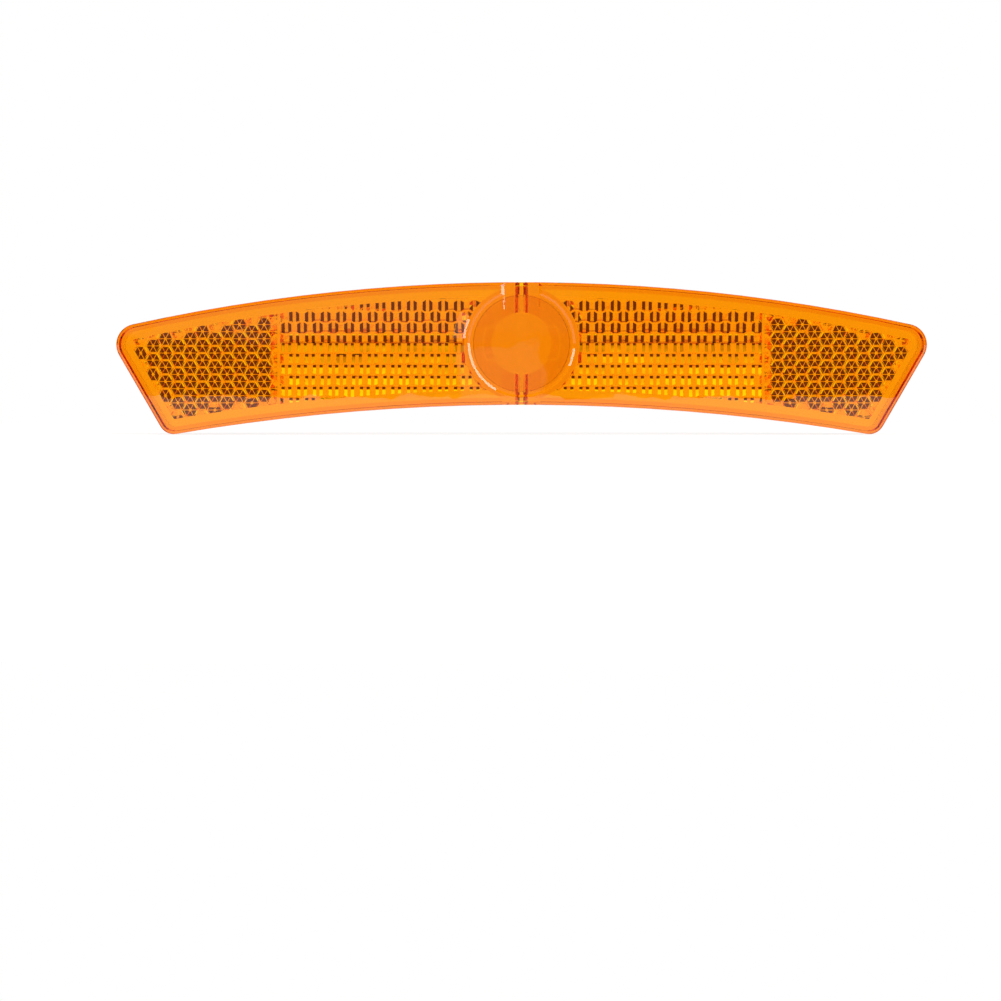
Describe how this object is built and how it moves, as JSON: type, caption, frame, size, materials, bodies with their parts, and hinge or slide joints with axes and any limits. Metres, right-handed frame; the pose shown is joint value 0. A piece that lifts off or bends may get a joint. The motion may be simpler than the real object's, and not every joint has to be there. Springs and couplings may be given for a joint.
{
  "type": "bicycle spoke reflector",
  "caption": "Arched clear amber reflector that rides on a bicycle spoke, two prismatic lenses welded edge to edge, held by a quarter-turn cap.",
  "frame": {"origin": "middle of the spoke's seat, on the joint plane of the two lenses", "axes": "+X along the strip's length, +Y out of the rear face, +Z out along the spoke towards the arch's outer edge"},
  "size_m": [0.125, 0.009, 0.0234],
  "materials": {
    "amber_lens": "polished clear amber acrylic",
    "amber_cap": "clear amber acrylic, moulded"
  },
  "bodies": {
    "reflector": {"front_lens": "amber_lens", "rear_lens": "amber_lens"},
    "lock": {"lock_cap": "amber_cap"}
  },
  "joints": [
    {"name": "lock_turn", "type": "hinge", "parent": "reflector", "child": "lock", "pos_m": [0, 0, 0], "axis": [0, -1, 0], "range_deg": [0, 110]}
  ]
}
